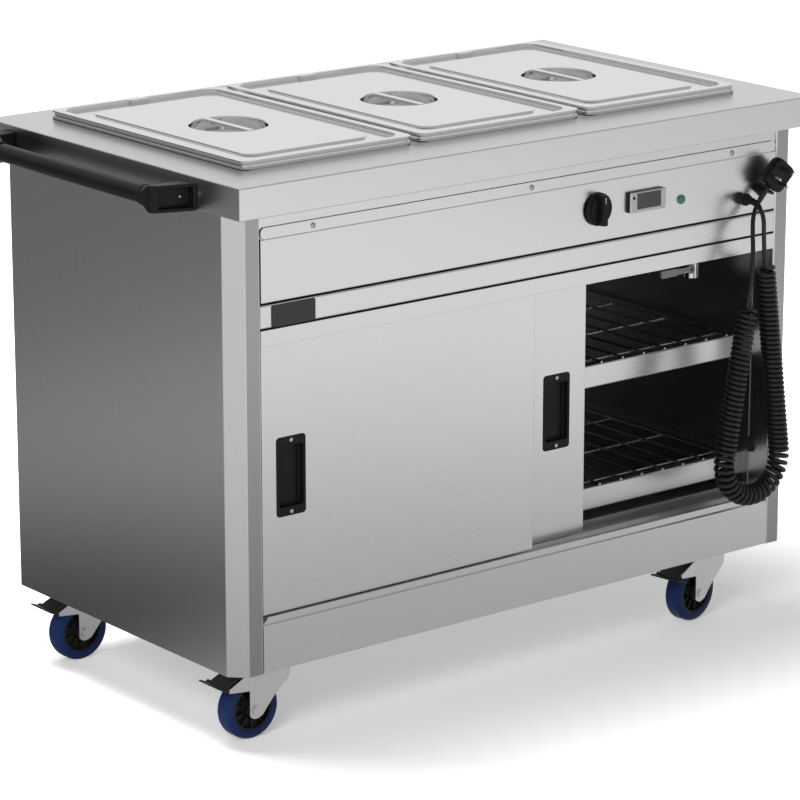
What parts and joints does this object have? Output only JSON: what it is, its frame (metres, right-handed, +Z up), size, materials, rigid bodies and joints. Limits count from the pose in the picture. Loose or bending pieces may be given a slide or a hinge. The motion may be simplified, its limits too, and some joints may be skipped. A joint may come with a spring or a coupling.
{
  "type": "hostess trolley",
  "caption": "Mobile stainless hot cupboard: heated well with lidded pans on top, sliding doors, wire racks, push handle, coiled mains lead and braked swivel castors.",
  "frame": {"origin": "on the floor, under the middle of the box round the trolley and its push handle", "axes": "+X to the right along the front, +Y to the back, +Z up; doors and controls face -Y, the push handle is at -X"},
  "size_m": [1.247, 0.7227, 0.914],
  "materials": {
    "steel_top": "brushed stainless steel, satin",
    "steel_body": "brushed stainless steel, vertical grain",
    "steel_inner": "stainless steel, dull",
    "steel_lid": "bright polished stainless steel",
    "steel_pan": "pressed stainless steel, satin",
    "wire": "bright drawn wire",
    "zinc": "bright zinc plate",
    "screw_steel": "bright screws",
    "black_plate": "gloss black plate",
    "black_plastic": "moulded black plastic",
    "grey_plastic": "moulded grey plastic",
    "display": "silver bezel with a dark screen",
    "lamp": "translucent green lens",
    "cord_black": "black rubber cord, semi-gloss",
    "buffer_rubber": "black rubber",
    "heater_metal": "dark oxidised heater sheath",
    "valve_chrome": "chromed brass",
    "lever_grey": "grey coated lever",
    "tyre_navy": "navy blue elastic tyre on a black centre",
    "pedal_black": "black pad on a steel pedal"
  },
  "bodies": {
    "cabinet": {"worktop": "steel_top", "pan_bars": "steel_top", "well_tank": "steel_inner", "left_side": "steel_body", "right_side": "steel_body", "back_panel": "steel_body", "base_plate": "steel_body", "plinth": "steel_body", "door_tracks": "steel_body", "front_rails": "steel_body", "badge_plate": "black_plate", "control_panel": "steel_body", "panel_screws": "screw_steel", "thermostat": "grey_plastic", "display": "display", "indicator_lamp": "lamp", "cable_gland": "black_plastic", "cord_hook": "black_plastic", "gland_lead": "cord_black", "curly_cord": "cord_black", "plug_lead": "cord_black", "plug": "black_plastic", "handle_bar": "black_plastic", "handle_brackets": "black_plastic", "liner": "steel_inner", "cupboard_floor": "steel_inner", "cupboard_ceiling": "steel_inner", "shelf_supports": "steel_inner", "upper_rack": "wire", "lower_rack": "wire", "well_element": "heater_metal", "cupboard_element": "heater_metal", "drain_valve": "valve_chrome", "door_buffers": "buffer_rubber", "castor_plates": "zinc"},
    "left_door_body": {"left_door": "steel_body", "door_pull_left": "black_plastic"},
    "right_door_body": {"right_door": "steel_body", "door_pull_right": "black_plastic"},
    "knob_body": {"knob": "black_plastic"},
    "key_body": {"display_key": "black_plastic"},
    "drain_lever_body": {"drain_lever": "lever_grey"},
    "pan_left_body": {"pan_left": "steel_pan"},
    "lid_left_body": {"lid_left": "steel_lid"},
    "pan_middle_body": {"pan_middle": "steel_pan"},
    "lid_middle_body": {"lid_middle": "steel_lid"},
    "pan_right_body": {"pan_right": "steel_pan"},
    "lid_right_body": {"lid_right": "steel_lid"},
    "castor_fl": {"fork_fl": "zinc"},
    "wheel_fl_body": {"wheel_fl": "tyre_navy"},
    "pedal_fl_body": {"pedal_fl": "pedal_black"},
    "castor_fr": {"fork_fr": "zinc"},
    "wheel_fr_body": {"wheel_fr": "tyre_navy"},
    "pedal_fr_body": {"pedal_fr": "pedal_black"},
    "castor_rl": {"fork_rl": "zinc"},
    "wheel_rl_body": {"wheel_rl": "tyre_navy"},
    "pedal_rl_body": {"pedal_rl": "pedal_black"},
    "castor_rr": {"fork_rr": "zinc"},
    "wheel_rr_body": {"wheel_rr": "tyre_navy"},
    "pedal_rr_body": {"pedal_rr": "pedal_black"}
  },
  "joints": [
    {"name": "left_door_slide", "type": "slide", "parent": "cabinet", "child": "left_door_body", "axis": [1, 0, 0], "range_m": [0, 0.506]},
    {"name": "right_door_slide", "type": "slide", "parent": "cabinet", "child": "right_door_body", "axis": [1, 0, 0], "range_m": [-0.126, 0.379]},
    {"name": "knob_turn", "type": "hinge", "parent": "cabinet", "child": "knob_body", "pos_m": [0.1715, -0.325, 0.765], "axis": [0, 1, 0], "range_deg": [0, 300]},
    {"name": "display_key_press", "type": "slide", "parent": "cabinet", "child": "key_body", "axis": [0, 1, 0], "range_m": [0, 0.0008], "stiffness_N_per_m": 800},
    {"name": "drain_lever_turn", "type": "hinge", "parent": "cabinet", "child": "drain_lever_body", "pos_m": [0.4875, -0.201, 0.597], "axis": [0, -1, 0], "range_deg": [0, 90]},
    {"name": "pan_left_lift", "type": "slide", "parent": "cabinet", "child": "pan_left_body", "axis": [0, 0, 1], "range_m": [0, 0.2]},
    {"name": "lid_left_lift", "type": "slide", "parent": "pan_left_body", "child": "lid_left_body", "axis": [0, 0, 1], "range_m": [0, 0.15]},
    {"name": "pan_middle_lift", "type": "slide", "parent": "cabinet", "child": "pan_middle_body", "axis": [0, 0, 1], "range_m": [0, 0.2]},
    {"name": "lid_middle_lift", "type": "slide", "parent": "pan_middle_body", "child": "lid_middle_body", "axis": [0, 0, 1], "range_m": [0, 0.15]},
    {"name": "pan_right_lift", "type": "slide", "parent": "cabinet", "child": "pan_right_body", "axis": [0, 0, 1], "range_m": [0, 0.2]},
    {"name": "lid_right_lift", "type": "slide", "parent": "pan_right_body", "child": "lid_right_body", "axis": [0, 0, 1], "range_m": [0, 0.15]},
    {"name": "castor_fl_swivel", "type": "hinge", "parent": "cabinet", "child": "castor_fl", "pos_m": [-0.4315, -0.2525, 0.114], "axis": [0, 0, 1], "continuous": true},
    {"name": "wheel_fl_roll", "type": "hinge", "parent": "castor_fl", "child": "wheel_fl_body", "pos_m": [-0.4855, -0.2525, 0.05], "axis": [0, 1, 0], "continuous": true},
    {"name": "pedal_fl_press", "type": "hinge", "parent": "castor_fl", "child": "pedal_fl_body", "pos_m": [-0.4975, -0.2525, 0.106], "axis": [0, -1, 0], "range_deg": [0, 12]},
    {"name": "castor_fr_swivel", "type": "hinge", "parent": "cabinet", "child": "castor_fr", "pos_m": [0.4985, -0.2525, 0.114], "axis": [0, 0, 1], "continuous": true},
    {"name": "wheel_fr_roll", "type": "hinge", "parent": "castor_fr", "child": "wheel_fr_body", "pos_m": [0.44503, -0.26002, 0.05], "axis": [-0.1392, 0.9903, 0], "continuous": true},
    {"name": "pedal_fr_press", "type": "hinge", "parent": "castor_fr", "child": "pedal_fr_body", "pos_m": [0.43314, -0.26169, 0.106], "axis": [0.1392, -0.9903, 0], "range_deg": [-12, 0]},
    {"name": "castor_rl_swivel", "type": "hinge", "parent": "cabinet", "child": "castor_rl", "pos_m": [-0.4315, 0.2235, 0.114], "axis": [0, 0, 1], "continuous": true},
    {"name": "wheel_rl_roll", "type": "hinge", "parent": "castor_rl", "child": "wheel_rl_body", "pos_m": [-0.4855, 0.2235, 0.05], "axis": [0, 1, 0], "continuous": true},
    {"name": "pedal_rl_press", "type": "hinge", "parent": "castor_rl", "child": "pedal_rl_body", "pos_m": [-0.4975, 0.2235, 0.106], "axis": [0, -1, 0], "range_deg": [0, 12]},
    {"name": "castor_rr_swivel", "type": "hinge", "parent": "cabinet", "child": "castor_rr", "pos_m": [0.4985, 0.2235, 0.114], "axis": [0, 0, 1], "continuous": true},
    {"name": "wheel_rr_roll", "type": "hinge", "parent": "castor_rr", "child": "wheel_rr_body", "pos_m": [0.4445, 0.2235, 0.05], "axis": [0, 1, 0], "continuous": true},
    {"name": "pedal_rr_press", "type": "hinge", "parent": "castor_rr", "child": "pedal_rr_body", "pos_m": [0.4325, 0.2235, 0.106], "axis": [0, -1, 0], "range_deg": [0, 12]}
  ]
}
